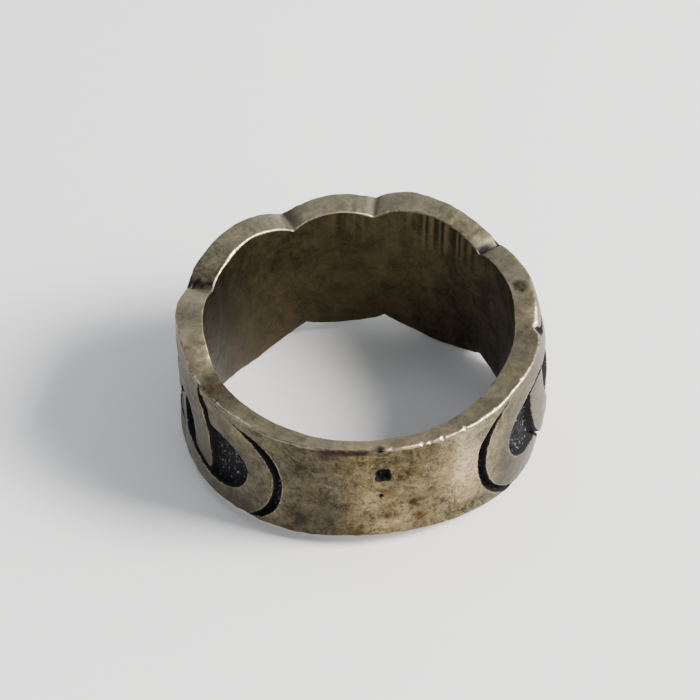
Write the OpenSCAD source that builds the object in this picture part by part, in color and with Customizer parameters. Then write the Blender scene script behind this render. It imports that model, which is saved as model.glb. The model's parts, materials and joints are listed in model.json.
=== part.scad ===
// Band ring with a raised four-strand interlace, cast in one piece.
// The band is made upright on its own axis, with the middle of the interlace towards +Y and
// the plain shank towards -Y. It is then leaned to the pose in which it rests on a table, on
// the four largest lobes of its lower edge, with the narrower shank just clear of the table.

/* [Band] */
// Inner diameter of the band
bore_d = 19; // [16:0.5:22]
// Width of the shank at the back
shank_w = 7.4; // [6:0.1:8]
// Width of the shank where the interlace ends
shoulder_w = 8.5; // [8:0.1:9]
// Wall at the back of the shank
back_wall = 0.95; // [0.8:0.05:1.4]
// Wall at the sides
side_wall = 1.65; // [1.4:0.05:1.8]
// Wall at the front
front_wall = 1.75; // [1.4:0.05:1.9]
// Radius of the worn corners
corner = 0.2; // [0.1:0.05:0.4]

/* [Interlace] */
// Width of a strand
strand_w = 1.9; // [1.6:0.1:2.1]
// Height of a strand's route above the middle, at the front lobe
front_reach = 3.85; // [3.6:0.05:4]
// The same at the widest lobes
wide_reach = 4.45; // [4.2:0.05:4.6]
// The same at the side lobes
side_reach = 4.1; // [3.9:0.05:4.3]
// The same at the end loops
loop_reach = 3.2; // [3.1:0.05:3.4]
// Depth of the open cells between strands
cell_depth = 0.5; // [0.3:0.05:0.6]
// Depth of the groove beside a strand that passes over
groove_depth = 0.4; // [0.2:0.05:0.5]
// Crown of a strand across its width
crown = 0.12; // [0:0.02:0.24]
// Rise and fall of a strand as it passes over and under
weave_rise = 0.1; // [0:0.02:0.14]

/* [Pits] */
// Diameter of the casting pit on the shank
pit_d = 0.9; // [0.5:0.1:1.2]
// Depth of the pit
pit_depth = 0.35; // [0.2:0.05:0.5]

/* [Hidden] */

bore_r = bore_d / 2;
half_strand = strand_w / 2;

// Angles round the band, in degrees from the middle of the interlace.
first_crossing = 15.5;
crossing_step = 23;
wide_lobe = first_crossing + crossing_step;
side_lobe = wide_lobe + 2 * crossing_step;
arc_reach = 30;
arc_edge_reach = 30.5;
shoulder_at = 110;
loop_length = 54.5;

// The grid of the outer face.
fine_step = 1.6;
coarse_step = 5;
fine_end = 140.8;
rows = 24;
groove_w = 0.42;
shoulder_turn = 0.42;
route_step = 5;
near_window = 14;
hidden_wall = 0.4;

columns = concat(
    [for (a = [-fine_end : fine_step : fine_end - 0.1]) a],
    [for (a = [fine_end : coarse_step : 360 - fine_end - 0.1]) a]);

function signed(a) = a > 180 ? a - 360 : a;
function bump(t) = t * t * (3 - 2 * t);
function mix(a, b, t) = a + (b - a) * bump(min(max(t, 0), 1));

// Radius of the tops of the strands and of the shank: thin at the back, thick round the interlace.
function top_r(a) = let (c = (1 + cos(a)) / 2)
    bore_r + back_wall * (1 - c) * (1 - 2 * c) + 4 * side_wall * c * (1 - c) + front_wall * c * (2 * c - 1);

// Distance along the band's face, at one radius for the whole interlace.
face_r = bore_r + (front_wall + side_wall) / 2;
function along(a) = face_r * a * PI / 180;

// The strands are cosine waves a quarter turn of phase apart, a little fuller at their tops.
// The phase gains 45 degrees from each crossing to the next, and the front lobe is shorter
// than the others.
fullness = 0.7;
function full(x) = let (m = abs(x), knee = sin(45))
    sign(x) * (m > knee ? pow(m, fullness) : m * pow(knee, fullness - 1));
function phase(a) = let (b = abs(a)) sign(a) *
    (b < first_crossing ? 45 * b / first_crossing : 45 + 45 * (b - first_crossing) / crossing_step);
function reach(a) = let (b = abs(a)) b < wide_lobe
    ? mix(front_reach, wide_reach, b / wide_lobe)
    : mix(wide_reach, side_reach, (b - wide_lobe) / (side_lobe - wide_lobe));

// A route is a list of [distance along, height, lift]. The lift is 1 where the strand
// passes over and -1 where it passes under.
function wave_point(a, lag) = let (q = phase(a) + lag) [along(a), reach(a) * full(cos(q)), sin(3 * q)];

// The two inner strands of an end join in a square-shouldered arc round the side lobe.
arc_power = 0.58;
function arc_point(t, end, half) =
    [along(end * (side_lobe + arc_reach * pow(cos(t), arc_power))),
        half * side_reach * pow(sin(t), arc_power), end * half * sin(2 * t)];

// The two outer strands of an end join in a drop-shaped loop, which starts where they cross.
drop_power = 0.75;
drop_peak = 0.812;
function drop_height(t) = loop_reach * sin(t) * pow(sin(t / 2), drop_power) / drop_peak;
function loop_point(t, end, half) =
    [along(end * (side_lobe + loop_length * (1 - cos(t)) / 2)), half * drop_height(t),
        end * half * cos(t / 2) * cos(2 * t)];

function arc_strand(half) = concat(
    [for (t = [0 : 10 : 80]) arc_point(t, -1, -half)],
    [for (a = [-side_lobe : route_step : side_lobe]) wave_point(a, half > 0 ? 0 : 180)],
    [for (t = [90 : -10 : 0]) arc_point(t, 1, -half)]);
function loop_strand(half) = concat(
    [for (t = [180 : -10 : 10]) loop_point(t, -1, half)],
    [for (a = [-side_lobe : route_step : side_lobe]) wave_point(a, half > 0 ? -90 : 90)],
    [for (t = [0 : 10 : 180]) loop_point(t, 1, -half)]);
strands = [arc_strand(1), arc_strand(-1), loop_strand(1), loop_strand(-1)];

// Half the width of the band at an angle: the outer edge of the strands, then the shank.
// A strand that climbs cuts the edge wider, by the slope of its route.
function phase_rate(a) = mix(45 / first_crossing, 45 / crossing_step, abs(a) / wide_lobe);
function wave_edge(a) =
    let (q = phase(a), high = max(abs(cos(q)), abs(sin(q))), low = min(abs(cos(q)), abs(sin(q))),
        slope = reach(a) * fullness * pow(high, fullness - 1) * low * phase_rate(a) / face_r)
    reach(a) * pow(high, fullness) + half_strand * sqrt(1 + slope * slope);
function arc_edge(a) = let (u = min((abs(a) - side_lobe) / arc_edge_reach, 1))
    (side_reach + half_strand) * sqrt(1 - u * u);
function shank_edge(a) = mix(shoulder_w, shank_w, (abs(a) - shoulder_at) / (180 - shoulder_at)) / 2;
function half_w(a) = abs(a) <= side_lobe ? wave_edge(a) : max(arc_edge(a), shank_edge(a));

// Nearest point of a route: [distance, lift].
function to_segment(p, s, e) =
    let (d = [e.x - s.x, e.y - s.y], t = min(max(((p.x - s.x) * d.x + (p.y - s.y) * d.y) / (d * d), 0), 1))
    [norm([p.x - s.x - t * d.x, p.y - s.y - t * d.y]), s.z + t * (e.z - s.z)];
function nearest(found, i = 0, best = [100, 0]) = i == len(found) ? best
    : nearest(found, i + 1, found[i][0] < best[0] ? found[i] : best);
function segments_near(route, a) = [for (i = [0 : len(route) - 2])
    if (abs(route[i].x - along(a)) < along(near_window)) [route[i], route[i + 1]]];

// The face of the shank begins outside the end loops.
function on_shank(a, z) = let (u = (abs(a) - side_lobe) / loop_length)
    u > 1 || (u > 0.5 && abs(z) > drop_height(acos(1 - 2 * u)));

// Height of the face against the tops of the strands. The strand that passes over covers,
// its shoulders turn down into a groove, except along the band's own edge, and what no strand
// covers is an open cell or the shank.
function strand_level(d, lift, inside) = weave_rise * (lift - 1) - crown * pow(d / half_strand, 2)
    - groove_depth * pow(max(1 - (half_strand - d) / shoulder_turn, 0), 2) * min(inside / shoulder_turn, 1);
function highest(covers, i = 0, best = [0, -9]) = i == len(covers) ? best
    : highest(covers, i + 1, covers[i][1] > best[1] ? covers[i] : best);
function face_level(a, z, near) =
    let (p = [along(a), z], inside = max(half_w(a) - abs(z), 0),
        found = [for (n = near) nearest([for (s = n) to_segment(p, s[0], s[1])])],
        covers = [for (f = found) if (f[0] < half_strand) f],
        top = highest(covers),
        cut = max([0, for (f = found) if (f[0] >= half_strand && (len(covers) == 0 || f[1] > top[1]))
            1 - (f[0] - half_strand) / groove_w]))
    len(covers) > 0 ? max(strand_level(top[0], top[1], inside) - groove_depth * cut, -cell_depth)
    : on_shank(a, z) ? -groove_depth * cut
    : -cell_depth;

// The level is the mean of five samples, so that edges across the grid come out even.
samples = [[0, 0], [0.5, 0.5], [0.5, -0.5], [-0.5, 0.5], [-0.5, -0.5]];
row_step = 2 * wide_reach / rows;
function mean(v) = v * [for (x = v) 1] / len(v);
function even_level(a, z, near) =
    mean([for (s = samples) face_level(a + s.x * fine_step, z + s.y * row_step, near)]);

// The corners are rounded: the last stretch of the face turns in to the edge.
function corner_fall(z, half) = let (d = max(z - half + corner, 0)) corner - sqrt(corner * corner - d * d);

// Heights of the grid rows, close together at the corners.
function row_z(j, half) = j == 0 ? -half : j == rows ? half
    : j == 1 ? -half + corner / 3 : j == rows - 1 ? half - corner / 3
    : (half - corner) * (2 * (j - 2) / (rows - 4) - 1);

// Beyond the side lobes, the two halves of an arc or of a loop count as one strand.
joined_from = side_lobe + 13;
function strands_near(a) = let (s = [for (route = strands) segments_near(route, a)])
    abs(a) > joined_from ? [concat(s[0], s[1]), concat(s[2], s[3])] : s;

function column_points(c) =
    let (a = signed(c), half = half_w(a), near = strands_near(a))
    [for (j = [0 : rows]) let (z = row_z(j, half),
        r = top_r(a) + even_level(a, z, near) - corner_fall(abs(z), half)) [-r * sin(a), r * cos(a), z]];
grid = [for (c = columns) column_points(c)];
function level_gap(p, q) = abs(norm([p.x, p.y]) - norm([q.x, q.y]));

// The blank: the outer face and both edges, closed by a wall that the bore removes.
module blank() {
    n = len(columns);
    wide = rows + 3;
    inner_r = bore_r - hidden_wall;
    points = [for (i = [0 : n - 1])
        let (a = signed(columns[i]), half = half_w(a), x = -inner_r * sin(a), y = inner_r * cos(a))
        each concat(grid[i], [[x, y, half], [x, y, -half]])];
    faces = [for (i = [0 : n - 1], j = [0 : wide - 1])
        let (k = (i + 1) % n, m = (j + 1) % wide,
            p = i * wide + j, q = k * wide + j, r = k * wide + m, s = i * wide + m,
            along_pr = level_gap(points[p], points[r]) < level_gap(points[q], points[s]))
        each along_pr ? [[p, q, r], [p, r, s]] : [[p, q, s], [q, r, s]]];
    polyhedron(points, faces, convexity = 8);
}

// Pits left by the casting, on the near face of the shank: [angle, height, share of pit_d].
pits = [[177.6, 1.63, 1], [176.8, -0.1, 0.4]];
pit_floor = 0.6;
pit_mouth = 1.6;
module pit(a, z, share) {
    d = pit_d * share;
    rotate([0, 0, a])
        translate([0, top_r(a) - pit_depth * share, z])
            rotate([-90, 0, 0])
                cylinder(h = 2 * pit_depth, d1 = pit_floor * d, d2 = pit_mouth * d, $fn = 24);
}

// The lean at which the wide lobes and the side lobes of the lower edge stand equally low.
function foot(a, tilt) = bore_r * cos(a) * sin(tilt) - half_w(a) * cos(tilt);
function lowest(from, to, tilt) = min([for (a = [from : 0.5 : to]) foot(a, tilt)]);
between_lobes = first_crossing + 2 * crossing_step;
function find_lean(low = 0, high = 8, turns = 14) = let (tilt = (low + high) / 2) turns == 0 ? tilt
    : lowest(0, between_lobes, tilt) < lowest(between_lobes, shoulder_at, tilt)
    ? find_lean(tilt, high, turns - 1) : find_lean(low, tilt, turns - 1);
lean = find_lean();
rest_drop = lowest(0, 180, lean);
leaned_y = [for (column = grid, p = column) p.y * cos(lean) - p.z * sin(lean)];
middle_y = (min(leaned_y) + max(leaned_y)) / 2;

module upright_band() {
    difference() {
        blank();
        cylinder(h = 4 * wide_reach, r = bore_r, center = true, $fn = 180);
        for (p = pits) pit(p[0], p[1], p[2]);
    }
}

module band() color("#8f8678")
    translate([0, -middle_y, -rest_drop])
        rotate([lean, 0, 0])
            upright_band();

band();
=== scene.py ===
# A cast band ring with a raised interlace, in worn and tarnished white metal, on pale paper.
import json
import math
import bpy
import numpy as np
from mathutils import Matrix, Vector


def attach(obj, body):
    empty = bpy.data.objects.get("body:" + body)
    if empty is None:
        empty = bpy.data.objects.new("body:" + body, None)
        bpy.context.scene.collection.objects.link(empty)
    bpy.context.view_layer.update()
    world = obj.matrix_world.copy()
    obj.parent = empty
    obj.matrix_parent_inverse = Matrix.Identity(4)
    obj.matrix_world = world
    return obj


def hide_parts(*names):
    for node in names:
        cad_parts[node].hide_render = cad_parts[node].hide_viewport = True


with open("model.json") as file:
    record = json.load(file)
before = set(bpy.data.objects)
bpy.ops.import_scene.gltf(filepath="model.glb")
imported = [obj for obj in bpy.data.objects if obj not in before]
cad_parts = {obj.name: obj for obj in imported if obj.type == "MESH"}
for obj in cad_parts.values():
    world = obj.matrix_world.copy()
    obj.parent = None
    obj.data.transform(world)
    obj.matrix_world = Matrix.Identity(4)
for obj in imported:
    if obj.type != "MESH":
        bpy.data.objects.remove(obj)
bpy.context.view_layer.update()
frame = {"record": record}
finger = next(m for m in frame["record"]["mounts"] if m["name"] == "finger")
mm = 0.001

# The band's own frame has its bore along Z and the middle of the interlace towards +Y.
# The finger mount says where the bore's centre is and how it leans as the ring rests.
boreCentre = Vector(finger["pos_m"])
boreAxis = Vector(finger["axis"]).normalized()
acrossAxis = Vector((1, 0, 0))
bandTurn = Matrix((acrossAxis, boreAxis.cross(acrossAxis), boreAxis)).transposed()

# Lengths in mm and angles in degrees. Angles are counted from the middle of the interlace,
# towards -X, so the shank is at 180.
band = {
    "boreR": finger["dims"]["r_mm"],
    "backWall": 0.95,
    "sideWall": 1.55,
    "frontWall": 1.65,
    "shankWidth": 7.4,
    "shoulderWidth": 8.5,
    "shoulderAt": 110,
    "columnStep": 0.45,
    "boreRows": 11,
    "edgeRows": 5,
    "cornerRows": 4,
    "faceRows": 84,
    "faceHeight": 9.0,
    "cornerHold": 0.12,
    "sampleStep": 0.33,
    "edgeCrown": 0.035,
    "edgeSpan": 1.6,
    "underTrim": 0.13,
}
interlace = {
    "halfStrand": 0.95,
    "firstCrossing": 15.5,
    "crossingStep": 23,
    "frontReach": 3.85,
    "wideReach": 4.45,
    "sideReach": 4.1,
    "fullness": 0.7,
    "arcEdgeReach": 30.5,
    "edgeHeight": 4.6,
    "edgeBlend": 0.5,
    "topBlend": 0.35,
    "joinedFrom": 13,
    "nearby": 2.4,
    "crown": 0.03,
    "weaveRise": 0.1,
    "grooveDepth": 0.38,
    "grooveWidth": 0.27,
    "grooveWall": 0.12,
    "grooveEase": 4,
    "grooveOpens": 0.1,
    "edgeClear": (0.05, 0.35),
    "shoulder": 0.13,
    "wallTop": 0.05,
    "cellDepth": 0.55,
    "frontTwist": 4,
    "twistHeight": 9.4,
    "twistReach": 80,
    "swellAt": (60, 20),
    "pinchAt": (66, 15),
    # The left arc's filled corner, as angle and height, and the groove that runs up beside it.
    "arcCorner": (106.6, 2.9),
    "cornerFrom": 87,
    "cornerGroove": {"width": 0.26, "reach": 0.27, "from": 2.6, "ease": 0.3},
    # Two small cells at the left are nearly filled.
    "closedCells": (68, 91),
    "closedAbove": 1.2,
    "closedLevel": -0.12,
    "closedGroove": 0.05,
    # The ends aren't alike. A loop's halves have a height, a power that is lower where the drop is
    # fuller near its crossing, and a half width. An arc's powers are for its upper and lower half.
    # Each groove has a width at each height: one outside the loop, the other beside the arc.
    "leftEnd": {
        "crossing": 78,
        "loopLength": 57.3,
        "upper": (2.48, 0.62, 1.01),
        "lower": (3.81, 0.62, 1.05),
        "arcReach": 22.1,
        "arcPowers": (0.9, 0.9),
        "arcWide": 1.13,
        "arcLift": -0.63,
        "arcSwell": 0.4,
        "pinch": 0,
        "groove": [(-3.95, -0.2), (-3.6, 0.3), (-2.3, 0.5), (1.0, 0.5), (2.1, 0.56), (2.8, 0.44),
                   (3.1, 0.24), (3.3, -0.2)],
        "innerGroove": [(-0.6, 0.12), (0.2, 0.3), (2.0, 0.34), (2.45, 0.48)],
    },
    "rightEnd": {
        "crossing": 84.5,
        "loopLength": 56.2,
        "upper": (3.73, 0.17, 0.98),
        "lower": (3.12, 1.03, 1.15),
        "arcReach": 32.0,
        "arcPowers": (0.45, 0.9),
        "arcWide": 1.16,
        "arcLift": 1.15,
        "arcSwell": 0,
        "pinch": 0.36,
        "groove": [(-4.0, -0.2), (-3.7, 0.28), (-2.4, 0.46), (-0.4, 0.52), (1.2, 0.6), (1.7, 0.58),
                   (2.5, 0.46), (3.1, 0.32), (3.5, 0.16), (3.8, -0.2)],
        "innerGroove": [(-0.6, 0.25), (0.2, 0.3)],
    },
}
wideLobe = interlace["firstCrossing"] + interlace["crossingStep"]
sideLobe = wideLobe + 2 * interlace["crossingStep"]
faceR = band["boreR"] + 0.5 * (band["frontWall"] + band["sideWall"])
faceRound = 2 * math.pi * faceR
# How far a point counts as inside the dark where none is near, in mm.
noDark = -0.4


def ease(t):
    # 3t^2 - 2t^3, held to 0 and 1 outside.
    t = np.clip(t, 0, 1)
    return t * t * (3 - 2 * t)


def hill(x, middle, width):
    # e to the minus square of (x - middle)/width.
    return np.exp(-(((x - middle) / width) ** 2))


def along(a):
    # Distance round the face in mm: its mean radius times the angle.
    return faceR * np.radians(a)


def roundFrom(x, a):
    # Distance x round the face less that of an angle, by the shorter way round.
    return (x - along(a) + faceRound / 2) % faceRound - faceRound / 2


def apart(a, b):
    # Angle from b to a, between -180 and 180.
    return (a - b + 180) % 360 - 180


def between(a, table):
    # Value at an angle, straight between the listed (angle, value) pairs round the ring.
    angles, values = np.array(sorted(table)).T
    return np.interp(apart(a, 0), angles, values, period=360)


def cloud(x, y, cell, seed):
    # Random numbers from -1 to 1 on a square lattice that closes round the ring, eased between
    # its corners.
    lattice = np.random.default_rng(seed).uniform(-1, 1, (512, 512))
    count = int(round(faceRound / cell))
    u, v = x * count / faceRound, y / cell + 64
    i = np.floor(u).astype(int)
    j = np.floor(v).astype(int)
    s, t = ease(u - i), ease(v - j)
    i0, i1 = np.mod(i, count) % 512, np.mod(i + 1, count) % 512
    j0, j1 = j % 512, (j + 1) % 512
    low = lattice[i0, j0] * (1 - s) + lattice[i1, j0] * s
    high = lattice[i0, j1] * (1 - s) + lattice[i1, j1] * s
    return low * (1 - t) + high * t


def topRadius(a):
    # Outer radius: with c = (1 + cos a)/2, back (1-c)(1-2c) + 4 side c(1-c) + front c(2c-1).
    c = (1 + np.cos(np.radians(a))) / 2
    wall = band["backWall"] * (1 - c) * (1 - 2 * c) + 4 * band["sideWall"] * c * (1 - c)
    return band["boreR"] + wall + band["frontWall"] * c * (2 * c - 1)


def patternAngle(a, z):
    # The plait leans a little at the front, where its lower notches stand further to one side.
    lean = 0.5 - z / interlace["twistHeight"]
    return a + interlace["frontTwist"] * lean * ease(1 - np.abs(a) / interlace["twistReach"])


def phaseOf(s):
    # 45 degrees of phase at the first crossing, and 45 more at each crossing after it.
    b = np.abs(s)
    first = interlace["firstCrossing"]
    beyond = 45 + 45 * (b - first) / interlace["crossingStep"]
    return np.sign(s) * np.where(b < first, 45 * b / first, beyond)


def reachOf(s):
    # Height of the waves, eased from the front lobe to the wide one and on to the side one.
    b = np.abs(s)
    toWide = (interlace["wideReach"] - interlace["frontReach"]) * ease(b / wideLobe)
    toSide = (interlace["sideReach"] - interlace["wideReach"]) * ease((b - wideLobe) / (sideLobe - wideLobe))
    return interlace["frontReach"] + toWide + toSide


def full(x):
    # x to the power of fullness at the tops, straight through the middle.
    m, knee, power = np.abs(x), math.sin(math.pi / 4), interlace["fullness"]
    return np.sign(x) * np.where(m > knee, m**power, m * knee ** (power - 1))


# A route is rows of angle, height, lift and half width along a strand.
def waveRoute(lag):
    # A strand between the side lobes: height = reach full(cos q), lift = sin 3q, q = phase + lag.
    # The two that go on to the loops are drawn along to where each end has its crossing.
    s = np.arange(-sideLobe, sideLobe + 0.01, 1.5)
    q = np.radians(phaseOf(s) + lag)
    ends = np.where(s > 0, interlace["leftEnd"]["crossing"], interlace["rightEnd"]["crossing"])
    toSide = ease((np.abs(s) - wideLobe) / (sideLobe - wideLobe))
    drawn = np.sign(s) * (ends - sideLobe) * toSide * (lag % 180 > 0)
    up, wide = reachOf(s) * full(np.cos(q)), interlace["halfStrand"] + 0 * s
    return np.stack([s + drawn, up, np.sin(3 * q), wide], 1)


def arcRoute(end, half):
    # A quarter of a square-shouldered oval: (cos t)^p along and (sin t)^p up, plus a lift that
    # goes as cos t, and a swelling of its width.
    form = interlace["leftEnd" if end > 0 else "rightEnd"]
    power = form["arcPowers"][0 if half > 0 else 1]
    t = math.pi / 4 * (1 - np.cos(np.pi * np.linspace(0, 1, 34)[:-1]))
    s = end * (sideLobe + form["arcReach"] * np.cos(t) ** power)
    up = half * interlace["sideReach"] * np.sin(t) ** power + form["arcLift"] * np.cos(t)
    wide = interlace["halfStrand"] + (form["arcWide"] - interlace["halfStrand"]) * np.cos(t)
    wide = wide + form["arcSwell"] * hill(np.degrees(t), *interlace["swellAt"])
    return np.stack([s, up, end * half * np.sin(2 * t), wide], 1)


def loopRoute(end, half):
    # Half a drop: the angle goes as (1 - cos t)/2 and the height as sin t (sin t/2)^n.
    form = interlace["leftEnd" if end > 0 else "rightEnd"]
    reach, power, wide = form["upper"] if half > 0 else form["lower"]
    middle = (form["upper"][2] + form["lower"][2]) / 2
    t = np.radians(np.arange(180, 2, -3))
    far = (1 - np.cos(t)) / 2
    swell = np.sin(t) * np.sin(t / 2) ** power
    up = half * reach * swell / swell.max()
    width = interlace["halfStrand"] + (middle - interlace["halfStrand"]) * far + (wide - middle) * np.sin(t)
    # An upper strand may be pinched from outside where it leaves the arc.
    narrow = (form["pinch"] if half > 0 else 0) * hill(np.degrees(t), *interlace["pinchAt"])
    up, width = up - half * narrow, width - narrow
    s = end * (form["crossing"] + form["loopLength"] * far)
    return np.stack([s, up, end * half * np.cos(t / 2) * np.cos(2 * t) + far**2, width], 1)


def strandRoutes():
    # Two strands turn back in the arcs. Two cross at both ends and go on to the loops.
    routes = []
    for half in (1, -1):
        wave = waveRoute(0 if half > 0 else 180)
        routes.append(np.concatenate([arcRoute(-1, -half), wave, arcRoute(1, -half)[::-1]]))
    for half in (1, -1):
        wave = waveRoute(-90 if half > 0 else 90)
        routes.append(np.concatenate([loopRoute(-1, half), wave, loopRoute(1, -half)[::-1]]))
    return routes


def beyondLoops(s, z):
    # True on the shank: past the widest place of a loop and outside its middle line. At the upper
    # left it begins at the arc's filled corner.
    found = np.zeros(s.shape, dtype=bool)
    for end in (1, -1):
        for half in (1, -1):
            route = loopRoute(end, half)
            tip, widest = route[0, 0] * end, route[len(route) // 2, 0] * end
            widest = interlace["arcCorner"][0] if end > 0 and half > 0 else widest
            line = np.interp(s * end, route[::-1, 0] * end, route[::-1, 1] * half)
            found |= (s * end > widest) & (z * half >= 0) & ((s * end > tip) | (z * half > line))
    return found


def nearestOn(route, x, z):
    # How far each point is outside a strand, and the strand's lift there, from the route's
    # straight stretches in turn.
    gap = np.full(x.shape, 9.0)
    lift = np.zeros(x.shape)
    path = np.column_stack([along(route[:, 0]), route[:, 1:]])
    middle = x.mean(1)
    for start, end in zip(path[:-1], path[1:]):
        near = np.abs(middle - (start[0] + end[0]) / 2) < interlace["nearby"]
        step = end - start
        px, pz = x[near] - start[0], z[near] - start[1]
        t = np.clip((px * step[0] + pz * step[1]) / (step[0] ** 2 + step[1] ** 2), 0, 1)
        outside = np.hypot(px - t * step[0], pz - t * step[1]) - start[3] - t * step[3]
        closer = outside < gap[near]
        gap[near] = np.where(closer, outside, gap[near])
        lift[near] = np.where(closer, start[2] + t * step[2], lift[near])
    return gap, lift


def halfWidth(s, blend):
    # Half the band's width: outer edge of the waves, then of the arcs, then of the shank. Blend
    # rounds the place where the arcs meet the shank.
    b = np.abs(s)
    q = np.radians(phaseOf(s))
    high = np.maximum(np.abs(np.cos(q)), np.abs(np.sin(q)))
    low = np.minimum(np.abs(np.cos(q)), np.abs(np.sin(q)))
    first, step, power = interlace["firstCrossing"], interlace["crossingStep"], interlace["fullness"]
    rate = 45 / first + (45 / step - 45 / first) * ease(b / wideLobe)
    slope = reachOf(s) * power * high ** (power - 1) * low * rate / faceR
    wave = reachOf(s) * high**power + interlace["halfStrand"] * np.sqrt(1 + slope**2)
    u = np.clip((b - sideLobe) / interlace["arcEdgeReach"], 0, 1)
    arc = (interlace["sideReach"] + interlace["halfStrand"]) * np.sqrt(1 - u**2)
    share = ease((b - band["shoulderAt"]) / (180 - band["shoulderAt"]))
    shank = (band["shoulderWidth"] + (band["shankWidth"] - band["shoulderWidth"]) * share) / 2
    outer = (arc + shank + np.sqrt((arc - shank) ** 2 + blend**2)) / 2
    return np.where(b <= sideLobe, wave, outer)


def faceRelief(a, z, inside):
    # Height of the face, and how far a point lies inside the dark cells and grooves.
    # The strands are laid from the lowest lift to the highest, each over a groove beside it.
    s = patternAngle(a, z)
    x = along(s)
    found = [nearestOn(route, x, z) for route in strandRoutes()]
    # The left arc fills the corner between its bend and the upper edge.
    past, below = x - along(interlace["arcCorner"][0]), interlace["arcCorner"][1] - z
    corner = np.where((past > 0) & (below > 0), np.hypot(past, below), np.maximum(past, below))
    upperArc = found[1][0]
    upperArc[:] = np.where(s > interlace["cornerFrom"], np.minimum(upperArc, corner), upperArc)
    # Near the shank the two arcs of an end count as one strand, and so do its loop's halves.
    joined = np.abs(s) > sideLobe + interlace["joinedFrom"]
    for one, two in ((0, 1), (2, 3)):
        first = joined & (found[one][0] <= found[two][0])
        second = joined & ~first
        for k in (0, 1):
            found[one][k][second] = found[two][k][second]
            found[two][k][first] = found[one][k][first]
    gaps = np.stack([f[0] for f in found])
    lifts = np.stack([f[1] for f in found])
    onShank = beyondLoops(s, z)
    cellsFrom, cellsTo = interlace["closedCells"]
    closed = (s > cellsFrom) & (s < cellsTo) & (np.abs(z) > interlace["closedAbove"]) & (gaps.min(0) > 0)
    level = np.where(onShank, 0.0, np.where(closed, interlace["closedLevel"], -interlace["cellDepth"]))
    dark = np.where(onShank | closed, noDark, -noDark)
    ends = [interlace[end] for end in ("leftEnd", "rightEnd")]
    endWidth = np.where(s > 0, *(np.interp(z, *np.array(end["groove"]).T) for end in ends))
    inner = np.where(s > 0, *(np.interp(z, *np.array(end["innerGroove"]).T) for end in ends))
    toEnd = ease((np.abs(s) - sideLobe) / interlace["grooveEase"])
    inner = interlace["grooveWidth"] + (inner - interlace["grooveWidth"]) * toEnd
    width = np.where(onShank, endWidth, np.where(closed, interlace["closedGroove"], inner))
    run = interlace["cornerGroove"]
    upward = np.maximum(width, run["width"] * ease((z - run["from"]) / run["ease"]))
    width = np.where((past > 0) & (past < run["reach"]), upward, width)
    opened = ease(width / interlace["grooveOpens"])
    order = np.argsort(lifts, axis=0)
    for k in range(len(found)):
        edge = np.take_along_axis(gaps, order[k : k + 1], 0)[0]
        lift = np.take_along_axis(lifts, order[k : k + 1], 0)[0]
        cut = interlace["grooveDepth"] * ease((width - edge) / interlace["grooveWall"]) * inside
        beside = np.minimum(level, np.maximum(level - cut, -interlace["cellDepth"]))
        turn = interlace["grooveDepth"] * ease((edge + interlace["wallTop"]) / interlace["shoulder"])
        crown = interlace["crown"] * np.clip(1 + edge / interlace["halfStrand"], 0, 1) ** 2
        body = interlace["weaveRise"] * (lift - 1) - crown - turn * inside * opened
        level = np.where(edge < interlace["shoulder"] - interlace["wallTop"], body, beside)
        dark = np.minimum(np.maximum(dark, np.minimum(edge, width - edge)), edge)
    return level, dark


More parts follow.
